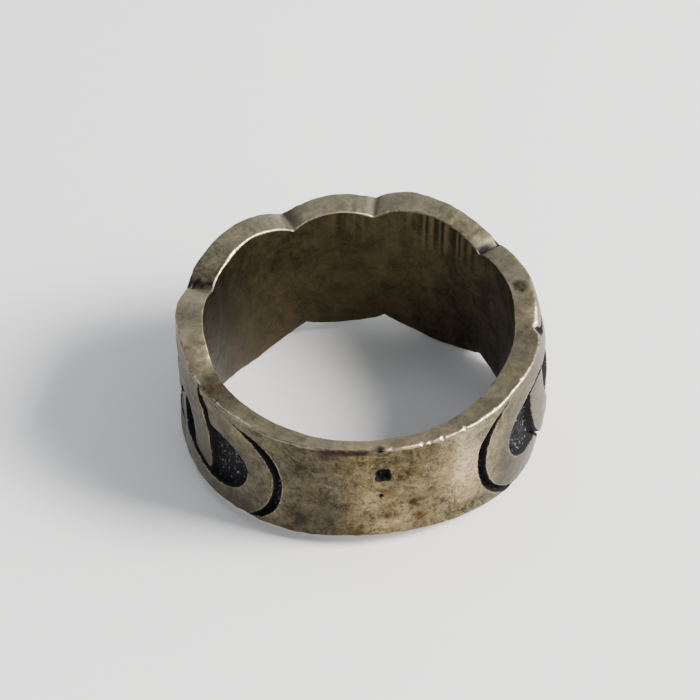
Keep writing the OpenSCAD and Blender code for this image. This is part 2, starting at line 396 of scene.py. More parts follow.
# Wear and casting marks, in degrees and mm. The trims, the bulge and the corners have a value at
# each angle. Notches and nicks have an angle, a depth and a width, and a pit an angle, a height, a
# size and a depth. A dent has an angle, a height, a width, a half height and a depth.
wear = {
    "bulgeHeight": 4.3,
    "sunkFrom": 0.3,
    "sunkEase": 0.15,
    "sunkMore": 0.02,
    "nickDeep": 0.3,
    "wallTrim": [(-165, 0.1), (-156, 0.15), (-148, 0.22), (-138, 0.26), (-126, 0.3), (-113, 0.26),
                 (-104, 0.14), (-98, 0.12), (-92, 0.2), (-83, 0.2), (-77, 0.08), (-71, -0.03), (-64, 0),
                 (-58, 0.18), (-50, 0.12), (-42, 0.14), (-37, 0.14), (-32, 0.22), (-27, 0.4),
                 (-20, 0.52), (-15, 0.54), (-11, 0.42), (-6, 0.42), (0, 0.28), (5, 0.15), (9, 0.06),
                 (13, 0.16), (17, 0.34), (24, 0.4), (30, 0.28), (36, 0.18), (46, 0.12), (55, 0.14),
                 (62, 0.13), (67, 0.16), (73, 0.32), (79, 0.28), (86, 0.1), (100, 0.0), (120, -0.06),
                 (135, 0.0), (157, -0.02), (170, -0.03), (180, 0)],
    "bulge": [(-155, 0), (-140, 0.12), (-122, 0.3), (-108, 0.48), (-97, 0.56), (-70, 0.15), (0, 0.05),
              (70, 0.05), (110, 0.03), (150, 0)],
    "topTrim": [(-160, -0.1), (-150, -0.16), (-140, -0.14), (-127, 0), (-108, -0.05), (-101, -0.12),
                (-93, -0.1), (-84, -0.1), (-75, -0.1), (-66, 0.05), (-56, 0.05), (-47, 0), (-38, 0),
                (-29, 0.12), (-22, 0.26), (-17, 0.16), (-11, 0.08), (0, 0.07), (8, 0.04), (14, -0.04),
                (21, 0), (30, -0.05), (41, -0.12), (48, -0.24), (57, 0), (70, 0.05), (92, 0.05),
                (101, -0.06), (107, -0.08), (112, -0.17), (120, -0.16), (135, -0.1), (148, -0.1),
                (180, 0.03)],
    "innerCorner": [(-180, 0.07), (-100, 0.08), (-60, 0.1), (-26, 0.14), (-14, 0.16), (-8, 0.1),
                    (9, 0.12), (15, 0.18), (40, 0.14), (44, 0.2), (62, 0.14), (68, 0.1), (100, 0.08)],
    "outerCorner": [(-178, 0.16), (-172, 0.18), (-150, 0.18), (-120, 0.16), (-110, 0.24), (-100, 0.32),
                    (-88, 0.28), (-60, 0.16), (60, 0.14), (100, 0.14), (133, 0.18), (138, 0.14),
                    (160, 0.14), (172, 0.16)],
    "notches": [(-61.5, 0.26, 1.5), (-15.5, 0.12, 1.6), (15.5, 0.2, 2.0), (61.5, 0.26, 1.9)],
    "notchInside": 0.4,
    "pits": [(177.7, 1.63, 0.5, 0.42), (176.9, -0.1, 0.1, 0.2)],
    "pitLumps": [(4, math.pi, 0.1), (3, 1.2, 0.05), (7, 0, 0.04)],
    "pitWall": 0.12,
    "dents": [(81, 1.7, 9, 0.9, 0.06), (81, -0.4, 9, 1.4, 0.27), (83, -2.6, 8, 1.1, 0.16)],
    "nicks": [(-168.8, 0.3, 0.1), (-166.2, 0.15, 0.07), (-161.8, 0.25, 0.09), (-153.6, 0.25, 0.1),
              (-141.0, 0.15, 0.07), (-127.0, 0.15, 0.08), (119.0, 0.15, 0.08), (109.5, 0.2, 0.09),
              (176.5, 0.16, 0.16), (-179.2, 0.1, 0.12)],
}

# Unevenness of the casting: how much, how wide its waves are in mm, and a seed.
casting = {
    "topEdge": [(0.03, 1.3, 12), (0.012, 0.35, 22)],
    "lowEdge": [(0.03, 1.3, 10), (0.012, 0.35, 20)],
    "outerCorner": [(0.3, 0.5, 31)],
    "innerCorner": [(0.25, 0.6, 32)],
    "edgeFlat": [(0.012, 0.6, 8)],
    "face": [(0.02, 1.7, 3), (0.012, 0.6, 4)],
    "cells": [(0.05, 0.24, 5), (0.05, 0.45, 6)],
    "pits": [(0.15, 0.2, 7)],
}
# Parts of the band's section.
boreKey, innerKey, flatKey, outerKey, faceKey = range(5)


def uneven(kind, x, z):
    # Sum of the waves of one kind of unevenness.
    return sum(much * cloud(x, z, wide, seed) for much, wide, seed in casting[kind])


def roundMean(values, reach):
    # Mean over neighbouring columns, round the ring.
    return sum(np.roll(values, k, 0) for k in range(-reach, reach + 1)) / (2 * reach + 1)


def edgeHalf(a, side):
    # Half width at the top (side 1) or bottom (side -1) edge, with its trims and unevenness.
    blend = interlace["topBlend" if side > 0 else "edgeBlend"]
    half = halfWidth(patternAngle(a, side * interlace["edgeHeight"]), blend)
    waves = uneven("topEdge" if side > 0 else "lowEdge", along(a), 0 * a)
    return half + (waves + between(a, wear["topTrim"]) if side > 0 else waves - band["underTrim"])


def pitsAt(x, z):
    # Sunk marks on the face: how deep, and how far inside the lumpy outline of one.
    depth, within = 0 * x, 0 * x + noDark
    for angle, height, size, deep in wear["pits"]:
        dx, dz = roundFrom(x, angle), z - height
        turn = np.arctan2(dz, dx)
        outline = 1 + sum(much * np.cos(waves * turn + start) for waves, start, much in wear["pitLumps"])
        inside = size * outline - np.hypot(dx, dz)
        depth = np.maximum(depth, deep * ease(inside / min(wear["pitWall"], size)))
        within = np.maximum(within, inside)
    return depth, within


def bandProfile():
    # Every column runs up the bore, out over the top edge, down the face and back under.
    a = np.arange(-180, 180, band["columnStep"])[:, None]
    top, bottom = edgeHalf(a, 1), edgeHalf(a, -1)
    ci = between(a, wear["innerCorner"]) * (1 + uneven("innerCorner", along(a), 0 * a))
    co = between(a, wear["outerCorner"]) * (1 + uneven("outerCorner", along(a), 0 * a))
    nick = sum(deep * hill(along(apart(a, angle)), 0, size) for angle, deep, size in wear["nicks"])
    t = np.linspace(1, -1, band["faceRows"])[None, :]
    z = np.where(t > 0, t * (top - co), t * (bottom - co))
    aa = np.broadcast_to(a, z.shape)
    x = along(aa)
    edgeGap = np.where(t > 0, top - z, bottom + z)
    clear, fade = interlace["edgeClear"]
    inside = np.clip((edgeGap - clear) / fade, 0, 1)
    # The relief is the mean of five places within each quad.
    stepX = band["sampleStep"] * band["columnStep"]
    stepZ = band["sampleStep"] * band["faceHeight"] / band["faceRows"]
    spots = [(0, 0), (1, 1), (1, -1), (-1, 1), (-1, -1)]
    level = sum(faceRelief(aa + u * stepX, z + v * stepZ, inside)[0] for u, v in spots) / len(spots)
    dark = faceRelief(aa, z, inside)[1]
    edgeLevel = np.where(t > 0, roundMean(level[:, :1], 3), roundMean(level[:, -1:], 3))
    hold = hill(edgeGap, co, band["cornerHold"])
    level = level * (1 - hold) + edgeLevel * hold
    pits, pitGap = pitsAt(x, z)
    sunk = ease((-level - wear["sunkFrom"]) / wear["sunkEase"])
    dark = np.maximum(dark, pitGap)
    bulge = between(a, wear["bulge"]) * (1 - (z / wear["bulgeHeight"]) ** 2)
    dent = sum(deep * hill(a, at, wide) * hill(z, up, tall) for at, up, wide, tall, deep in wear["dents"])
    face = topRadius(a) + between(a, wear["wallTrim"]) + bulge + level - pits - dent
    face = face + uneven("face", x, z) * (1 - sunk) + (uneven("cells", x, z) - wear["sunkMore"]) * sunk
    face = face + pits * uneven("pits", x, z)
    pieces = []

    def add(r, up, part, share, dark):
        shape = np.broadcast_shapes(r.shape, up.shape)
        pieces.append([np.broadcast_to(v, shape) for v in (r, up, part, share, dark)])

    def addEdge(side, outward):
        # The top or bottom edge: quarter round, flat with its notches, quarter round.
        half = top if side > 0 else bottom
        faceEnd, endDark = (face[:, :1], dark[:, :1]) if side > 0 else (face[:, -1:], dark[:, -1:])
        turn = np.radians(np.linspace(0, 90, band["cornerRows"] + 2)[1:-1])[None, :]
        sin, cos = np.sin(turn), np.cos(turn)
        flat = np.linspace(0, 1, band["edgeRows"])[None, :]
        s = patternAngle(a, side * interlace["edgeHeight"])
        dip = sum(deep * hill(s, at, size) for at, deep, size in wear["notches"])
        dipIn = wear["notchInside"]
        cut = wear["nickDeep"] * nick * np.sin(2 * turn) if side > 0 else 0
        crown = band["edgeCrown"] * (1 - (2 * flat - 1) ** 2)
        crown = crown + uneven("edgeFlat", along(a) + 0 * flat, flat * band["edgeSpan"])
        across = (band["boreR"] + ci) * (1 - flat) + (faceEnd - co) * flat
        rows = [
            (band["boreR"] + ci * (1 - cos), half - ci * (1 - sin) - dipIn * dip * sin, innerKey, turn),
            (across, half - dip * (dipIn + (1 - dipIn) * flat) + crown, flatKey, flat),
            (faceEnd - co * (1 - sin) - cut, half - co * (1 - cos) - dip * cos - cut, outerKey, turn),
        ]
        step = slice(None) if outward else slice(None, None, -1)
        for r, up, part, share in rows[step]:
            wide = np.broadcast_to(share / share.max(), up.shape)
            dim = (endDark * wide + noDark * (1 - wide))[:, step] if part == outerKey else noDark
            add(r[:, step], side * up[:, step], part, wide[:, step], dim)

    rise = np.linspace(0, 1, band["boreRows"])[None, :]
    boreUp = (ci - bottom) * (1 - rise) + (top - ci) * rise
    add(band["boreR"] + 0 * a * rise, boreUp, boreKey, rise, noDark)
    addEdge(1, True)
    add(face, z, faceKey, (1 - t) / 2, dark)
    addEdge(-1, False)
    r, up, part, share, dark = (np.concatenate([p[i] for p in pieces], 1) for i in range(5))
    return np.broadcast_to(a, r.shape), r, up, part, share, dark


def bandMesh(a, r, up):
    # Points (-r sin a, r cos a, up) turned to the resting pose, in quads round both ways.
    rad = np.radians(a)
    points = np.stack([-r * np.sin(rad), r * np.cos(rad), up], 2).reshape(-1, 3)
    placed = points * mm @ np.array(bandTurn).T + np.array(boreCentre)
    n, m = r.shape
    i, j = np.arange(n)[:, None], np.arange(m)[None, :]
    ni, nj = (i + 1) % n, (j + 1) % m
    quads = np.stack(np.broadcast_arrays(i * m + j, i * m + nj, ni * m + nj, ni * m + j), 2)
    mesh = bpy.data.meshes.new("castBand")
    mesh.from_pydata(placed.tolist(), [], quads.reshape(-1, 4).tolist())
    mesh.polygons.foreach_set("use_smooth", np.ones(n * m, dtype=bool))
    mesh.update()
    return mesh


angle, radius, height, part, share, darkGap = bandProfile()
mesh = bandMesh(angle, radius, height)
castBand = bpy.data.objects.new("castBand", mesh)
bpy.context.scene.collection.objects.link(castBand)
print("band mesh:", len(mesh.polygons), "quads")


# Colour, wear and painted light and shade by place, kept as point attributes that the metal reads.
# Marks: (angle, height, half width, half height, strength) in degrees and mm.
marks = {
    "stain": [(-175.8, 1.45, 0.75, 0.5, 1.0), (177.7, 0.35, 0.9, 0.55, 0.6),
              (179.2, -1.0, 0.5, 0.4, 0.7), (179.6, -1.99, 0.65, 0.3, 1.0),
              (-169.7, -2.45, 0.45, 0.9, 0.9), (-162.6, 0.2, 0.5, 0.3, 0.6),
              (173.2, -1.6, 0.4, 0.3, 0.5), (169.3, 0.1, 0.7, 0.5, 0.4), (168.9, -3.4, 1.0, 0.35, 0.8),
              (-172.4, -0.95, 0.35, 0.28, 0.9), (-178, -3.3, 1.4, 0.4, 0.5), (165, 2.4, 0.5, 0.4, 0.3)],
    "dark": [(-172.7, -1.05, 0.24, 0.2, 0.8), (-162.7, -1.58, 0.28, 0.24, 0.8),
             (-165.8, -1.2, 0.16, 0.14, 0.6), (-168.6, -1.05, 0.16, 0.12, 0.6),
             (-154.2, -3.1, 0.3, 0.3, 0.6), (-151.0, -2.9, 0.2, 0.25, 0.4),
             (-164.0, 2.3, 0.5, 0.22, 0.35), (150, 2.0, 1.6, 1.2, 0.3), (146.5, -2.4, 0.8, 0.8, 0.3),
             (175, 2.7, 1.8, 0.45, 0.5), (-172.9, -2.4, 0.05, 1.0, 0.5)],
    # Painted shade: ovals that darken the face low down and under the rim.
    "paintedShading": [(-151, -3.0, 2.4, 1.7, 0.5), (-134, -2.4, 2.2, 2.2, 0.45), (155, -1.6, 1.8, 1.6, 0.35),
               (-172, 3.0, 3.0, 0.9, 0.3), (-166, -0.4, 1.0, 0.8, 0.25), (-150, 2.6, 1.6, 0.8, 0.2)],
    # Painted light: ovals that lighten the face.
    "paintedLight": [(173.5, -0.4, 1.1, 1.3, 0.7), (-177, -2.5, 2.2, 1.3, 0.65), (-165, -2.6, 1.4, 1.2, 0.3),
               (-172, 0.6, 1.2, 0.8, 0.3), (153, 1.6, 0.5, 0.3, 0.6), (155, -1.2, 0.9, 0.3, 0.4),
               (160, 0.5, 0.6, 0.4, 0.5)],
    "boreDark": [(22.5, 2.5, 0.2, 0.4, 0.25), (26, 1.6, 0.28, 0.35, 0.25), (-3.4, 1.2, 0.16, 0.18, 0.3),
                 (-20, -1.5, 0.5, 0.3, 0.15), (-45, 0.5, 0.7, 0.5, 0.15), (35, -2.5, 0.6, 0.3, 0.15)],
    # Pale patches and a painted highlight: the oval at -155.5 is the window's reflection on the shank.
    "paleAndLit": [(-155.5, 1.0, 1.7, 1.7, 1.0), (-160, -0.4, 1.3, 1.4, 0.6), (-150, -0.8, 1.0, 1.2, 0.6),
             (171, -0.9, 1.6, 1.5, 0.45), (-178, -2.6, 1.2, 0.8, 0.4), (152, -1.2, 0.8, 0.3, 0.5),
             (-137, 2.6, 0.9, 0.9, 0.4)],
}
# Tones, painted shade and painted highlights have a value at each angle. A notch's soot and painted shade
# has an angle, a strength, a width, and a lean from the bore's side (0) to the face's (1).
tones = {
    "top": [(-175, 0.55), (-150, 0.45), (-120, 0.35), (-95, 0.5), (-75, 0.5), (-64, 0.35), (-45, 0.4),
            (-30, 0.55), (-19, 0.55), (-5, 0.6), (8, 0.5), (20, 0.4), (40, 0.35), (52, 0.15), (58, 0.1),
            (66, 0.4), (85, 0.45), (104, 0.35), (112, 0.15), (125, 0.35), (150, 0.5), (175, 0.65)],
    "face": [(-175, 0.45), (-158, 0.5), (-150, 0.6), (-143, 0.5), (-125, 0.4), (-90, 0.45), (0, 0.4),
             (90, 0.35), (125, 0.35), (150, 0.3), (160, 0.32), (168, 0.42), (178, 0.45)],
    # Painted light and shade: brightness by angle on the face, top and bore, standing in for the window's
    # reflection, the shadowed paper and the shade in the bore.
    "facePaintedShade": [(-178, 0.35), (-172, 0.28), (-166, 0.37), (-160, 0.48), (-155, 0.9), (-149, 0.68),
                  (-142, 0.5), (-136, 0.33), (-112, 0.42), (-100, 0.55), (-60, 0.5), (60, 0.5),
                  (110, 0.58), (124, 0.48), (136, 0.34), (148, 0.25), (160, 0.24), (168, 0.27),
                  (174, 0.36)],
    "topPaintedShade": [(-150, 0.72), (-90, 0.64), (-60, 0.75), (0, 0.78), (30, 0.85), (45, 1.05), (62, 0.95),
                 (80, 0.82), (110, 0.72)],
    "borePaintedShade": [(-150, 1.4), (-90, 2.2), (-50, 1.5), (0, 1.05), (30, 0.8), (60, 0.31), (100, 0.2),
                  (150, 0.18)],
    # Worn rims of the grooves, painted bright as a highlight.
    "wornRimHighlight": 0.16,
    "wornRimHighlightTo": 168,
    "mottledBore": 0.3,
    "mottledTop": 0.35,
    "mottledFace": [(-170, 1.2), (-150, 1.2), (-140, 0.7), (-120, 0.5), (120, 0.6), (160, 0.8),
                    (172, 1.2)],
    "bore": [(-150, 0.2), (-90, 0.05), (-50, 0.12), (-20, 0.3), (10, 0.35), (30, 0.4), (60, 0.4),
             (100, 0.5), (150, 0.4)],
    "warm": [(-178, 0.95), (-165, 0.85), (-150, 0.6), (-130, 0.3), (-100, 0.15), (0, 0.2), (110, 0.1),
             (140, 0.25), (160, 0.35), (168, 0.9)],
    # Painted highlights on the worn inner and outer corners, placed where the window catches them.
    "innerShine": [(-180, 0.2), (-112, 0.3), (-104, 0.6), (-80, 0.5), (-70, 0.2), (-27, 0.2),
                   (-24, 0.7), (-16, 0.9), (-13, 0.5), (-5, 0.15), (5, 0.15), (11, 0.7), (14, 1),
                   (18, 0.35), (40, 0.45), (44, 1), (49, 0.6), (60, 0.8), (64, 0.2), (80, 0.1),
                   (140, 0.15)],
    "outerShine": [(-178, 0.1), (-174, 0.5), (-168, 0.8), (-150, 0.75), (-140, 0.6), (-124, 0.45),
                   (-112, 0.35), (-103, 0.2), (-101, 0.6), (-96, 0.4), (-93, 0.1), (-60, 0.1),
                   (60, 0.1), (95, 0.1), (98, 0.8), (107, 1), (109, 0.1), (115, 0.2), (118, 1),
                   (134, 1), (136, 0.15), (155, 0.05), (175, 0.05)],
    # Soot and painted shade in the notches' valleys.
    "notchSootAndShade": [(-61.2, 1.2, 2.3, 0.2), (-15.5, 0.6, 2.2, 0.6), (14.5, 0.7, 2.6, 0.6),
                  (60.0, 1.2, 3.0, 0.5)],
    "paleAndLit": 0.2,
    "dark": 0.5,
    "soft": 0.12,
    # Soft and fine waves of tone, as size and seed, set apart on the edge and in the corners.
    "softWaves": (0.9, 41),
    "fineWaves": (0.3, 42),
    "flatApart": 20,
    "shareApart": 1.5,
    # A notch's soot and painted shade widens outwards and is weaker on the corners. The painted highlight
    # of a worn corner lies at a share of its turn, lower on the right, and is weaker below and in the soot.
    "notchDarkWidens": (0.75, 0.35),
    "cornerSootAndShade": (0.9, 0.4),
    "innerShineAt": (0.7, 0.2),
    "outerShineAt": (0.42, 0.22),
    "shineDip": (-98, 10, 0.2),
    "lowShine": 0.3,
    "notchDarkDulls": 0.6,
    "warmBore": 0.5,
    "warmEdge": 0.3,
    "warmSoft": 0.25,
    "innerAsBore": 0.7,
    # A dark spot with a pale ring on the top edge, brown beside the left arc, file marks in the
    # bore, a brown line under the rim and the chip in it.
    "spot": {"angle": -86.6, "radius": 10.18, "stretch": 1.4, "strength": 0.3, "ring": (0.6, 0.14)},
    "spotSize": (0.34, 0.16),
    "brownTop": [(111, 3.4, 0.4), (98, 2, 0.2)],
    "files": {"at": [(-45, 14, 1), (-4, 10, 0.4)], "from": 2.4, "fade": 1.5, "size": 0.22, "lean": 0.06},
    "redBand": {"angle": 165.5, "width": 8.5, "strength": 2.4, "from": 3.25, "fade": 0.15},
    "chip": {"angle": 176.6, "width": 2.6, "from": 0.5, "fade": 0.4},
}


def spotsOn(kind, on=faceKey):
    # Highest of the listed soft ovals at each point of one part of the section.
    total = 0 * angle
    for at, up, wide, tall, strength in marks[kind]:
        dx, dz = roundFrom(along(angle), at) / wide, (height - up) / tall
        total = np.maximum(total, strength * np.exp(-(dx**2 + dz**2)))
    return total * (part == on)


def hills(a, rows):
    # Sum of hills, each with an angle, a width and a strength.
    return sum(strength * hill(a, at, wide) for at, wide, strength in rows)


def byPart(bore, face, edge):
    # One value in the bore, one on the face and one on the edges.
    return np.where(part == boreKey, bore, np.where(part == faceKey, face, edge))


def wearAttributes():
    # Every attribute of the metal at every point.
    x = along(angle)
    onBore, onInner, onFlat, onOuter, onFace = (part == k for k in range(5))
    onTop = height > 0
    soft = cloud(x, height + tones["flatApart"] * onFlat, *tones["softWaves"])
    fine = cloud(x, height + share * tones["shareApart"], *tones["fineWaves"])

    # Soot and painted shade of the notches, and the painted highlights on the two worn corners.
    s = patternAngle(angle, height)
    notch = 0
    narrow, widen = tones["notchDarkWidens"]
    for at, strength, size, lean in tones["notchSootAndShade"]:
        side = 1 + (2 * lean - 1) * (2 * share - 1) * onFlat
        notch = notch + strength * hill(s, at, size * (narrow + widen * share)) * side
    outerSootAndShade, innerSootAndShade = tones["cornerSootAndShade"]
    edgeSootAndShade = notch * (onFlat + onOuter * outerSootAndShade + onInner * innerSootAndShade) * (0.85 + 0.3 * fine)
    (rise, wide), (dipAt, dipWide, dip) = tones["outerShineAt"], tones["shineDip"]
    rise = rise - dip * hill(angle, dipAt, dipWide)
    polishAndHighlight = onInner * between(angle, tones["innerShine"]) * hill(share, *tones["innerShineAt"])
    polishAndHighlight = polishAndHighlight + onOuter * between(angle, tones["outerShine"]) * hill(share, rise, wide)
    polishAndHighlight = polishAndHighlight * np.where(onTop, 1, tones["lowShine"]) * np.clip(0.95 + 0.3 * fine, 0, 1)
    polishAndHighlight = polishAndHighlight * (1 - np.clip(notch, 0, 1) * tones["notchDarkDulls"])

    # Lightness of the metal, with its spots, its pale patches and painted highlight, and painted light and
    # shade by place.
    tone = byPart(*(between(angle, tones[k]) for k in ("bore", "face", "top")))
    spot = tones["spot"]
    off = np.hypot((x - along(spot["angle"])) / spot["stretch"], radius - spot["radius"])
    size, fade = tones["spotSize"]
    spotted = hill(off, *spot["ring"]) - (1 - ease((off - size) / fade))
    tone = tone + onFlat * onTop * spot["strength"] * spotted
    tone = tone + tones["soft"] * soft + tones["paleAndLit"] * spotsOn("paleAndLit")
    tone = tone - tones["dark"] * spotsOn("dark") - spotsOn("boreDark", boreKey)
    # Painted light and shade: the colour is made lighter or darker by angle and by the lit and shaded ovals.
    facePaintedShade = between(angle, tones["facePaintedShade"]) * (1 + spotsOn("paintedLight")) * (1 - spotsOn("paintedShading"))
    paintedShade = byPart(between(angle, tones["borePaintedShade"]), facePaintedShade, between(angle, tones["topPaintedShade"]))
    warm = between(angle, tones["warm"])
    warm = byPart(tones["warmBore"], warm, warm * tones["warmEdge"]) + tones["warmSoft"] * soft

    # Brown line, chip, stains and file marks.
    line, chip, files = tones["redBand"], tones["chip"], tones["files"]
    redBand = line["strength"] * hill(angle, line["angle"], line["width"])
    redBand = np.clip(redBand + 0.3 * fine - 0.2, 0, 1)
    lineEdge = ease((height - line["from"] - 0.1 * soft) / line["fade"])
    redBand = redBand * ((onOuter & onTop) + onFace * lineEdge)
    chipped = hill(angle, chip["angle"], chip["width"]) * onTop * (1 + 0.5 * fine)
    chipped = chipped * (onOuter + onFlat * ease((share - chip["from"]) / chip["fade"]))
    stain = spotsOn("stain") + (onFlat | onInner) * onTop * hills(angle, tones["brownTop"])
    filed = onBore * hills(angle, files["at"]) * ease((height - files["from"]) / files["fade"])
    streak = cloud(x + height * files["lean"], 0 * x, files["size"], 43) * filed
    return {
        "mottled": byPart(tones["mottledBore"], between(angle, tones["mottledFace"]), tones["mottledTop"]),
        "wornRimHighlight": tones["wornRimHighlight"] * (np.abs(angle) < tones["wornRimHighlightTo"]),
        "darkGap": darkGap,
        "warm": np.clip(warm, 0, 1),
        "pinkPaleAndLit": spotsOn("paleAndLit"),
        "sootAndShade": np.clip(np.maximum(edgeSootAndShade, chipped), 0, 1),
        "polishAndHighlight": np.clip(polishAndHighlight, 0, 1),
        "tone": np.clip(tone, 0, 1),
        "paintedShade": paintedShade,
        "stain": np.clip(stain * (0.8 + 0.6 * fine), 0, 1),
        "redBand": redBand,
        "bore": onBore * 1.0 + onInner * (1 - share) * tones["innerAsBore"],
        "streak": streak,
    }


for name, values in wearAttributes().items():
    layer = mesh.attributes.new(name, "FLOAT", "POINT")
    layer.data.foreach_set("value", np.ascontiguousarray(values, dtype=np.float32).ravel())
print("wear attributes set")


def linear(r, g, b):
    # Display colour, 0 to 255, to scene-linear.
    c = [v / 255 for v in (r, g, b)]
    return [v / 12.92 if v <= 0.04045 else ((v + 0.055) / 1.055) ** 2.4 for v in c] + [1.0]


# Display colours, noises and roughness. A noise has a size in mm, detail, roughness and swirl.
metal = {
    "dark": (70, 64, 47),
    "light": (180, 171, 144),
    "warmDark": (84, 68, 36),
    "warmLight": (204, 184, 132),
    # Pink of the pale patches and the painted highlight.
    "pinkPaleAndLit": (206, 170, 146),
    "boreDark": (36, 32, 22),
    "boreLight": (122, 108, 78),
    "stain": (96, 70, 34),
    "speck": (48, 42, 32),
    "redBand": (22, 16, 12),
    "redLight": (52, 36, 26),
    "sootAndShade": (8, 8, 9),
    "glint": (120, 122, 138),
    # Colour of the painted highlights on worn corners and rims.
    "polishAndHighlight": (238, 216, 202),
    "broadNoise": (2.2, 3, 0.55, 0),
    "mottleNoise": (0.5, 4, 0.65, 0),
    "grainNoise": (0.12, 2, 0.6, 0),
    "speckNoise": (0.24, 3, 0.6, 0),
    "swirlNoise": (0.75, 4, 0.6, 1.6),
    "glintNoise": (0.17, 1, 0.5, 0),
    "satin": 0.42,
    "polished": 0.3,
    "sooty": 0.7,
    "boreRough": 0.06,
    "dullMetallic": 0.75,
    "specular": (0.5, 0.15),
    "bump": 0.6,
    "bumpMm": 0.02,
    "sootBump": 3.5,
}
# How far the metal's noises and attributes are stretched: from low and high, to 0 and 1 or to the
# last two numbers.
spans = {
    "edgeMottle": (0.3, 0.7, -0.035, 0.035),
    "edgeGrain": (0.3, 0.7, -0.02, 0.02),
    "sootEdge": (-0.09, -0.05),
    "broadTone": (0.3, 0.7, -0.12, 0.12),
    "mottleTone": (0.3, 0.7, -0.16, 0.16),
    "swirlTone": (0.42, 0.6, -0.16, 0.22),
    "grainTone": (0.3, 0.7, -0.22, 0.22),
    "warmPatches": (0.35, 0.6, 0.55, 1),
    "pinkPaleAndLitSpecks": (0.45, 0.6, 0, 0.7),
    "specks": (0.57, 0.68),
    "speckPatches": (0.4, 0.65, 0.15, 0.75),
    "stainPatches": (0.38, 0.52, 0.25, 1),
    "brownGrain": (0.25, 0.4, 0.5, 1),
    "brownPatches": (0.4, 0.6),
    "rimHighlightStarts": (-0.17, -0.12),
    "rimHighlightEnds": (-0.1, -0.07, 1, 0),
    "shineSpecks": (0.42, 0.55, 0.05, 1),
    "shineWhole": (0.6, 0.85),
    "glints": (0.6, 0.7),
    "glintPatches": (0.42, 0.58),
    "glintsInside": (0.04, 0.16),
    "roughMottle": (0.3, 0.7, -0.07, 0.07),
}


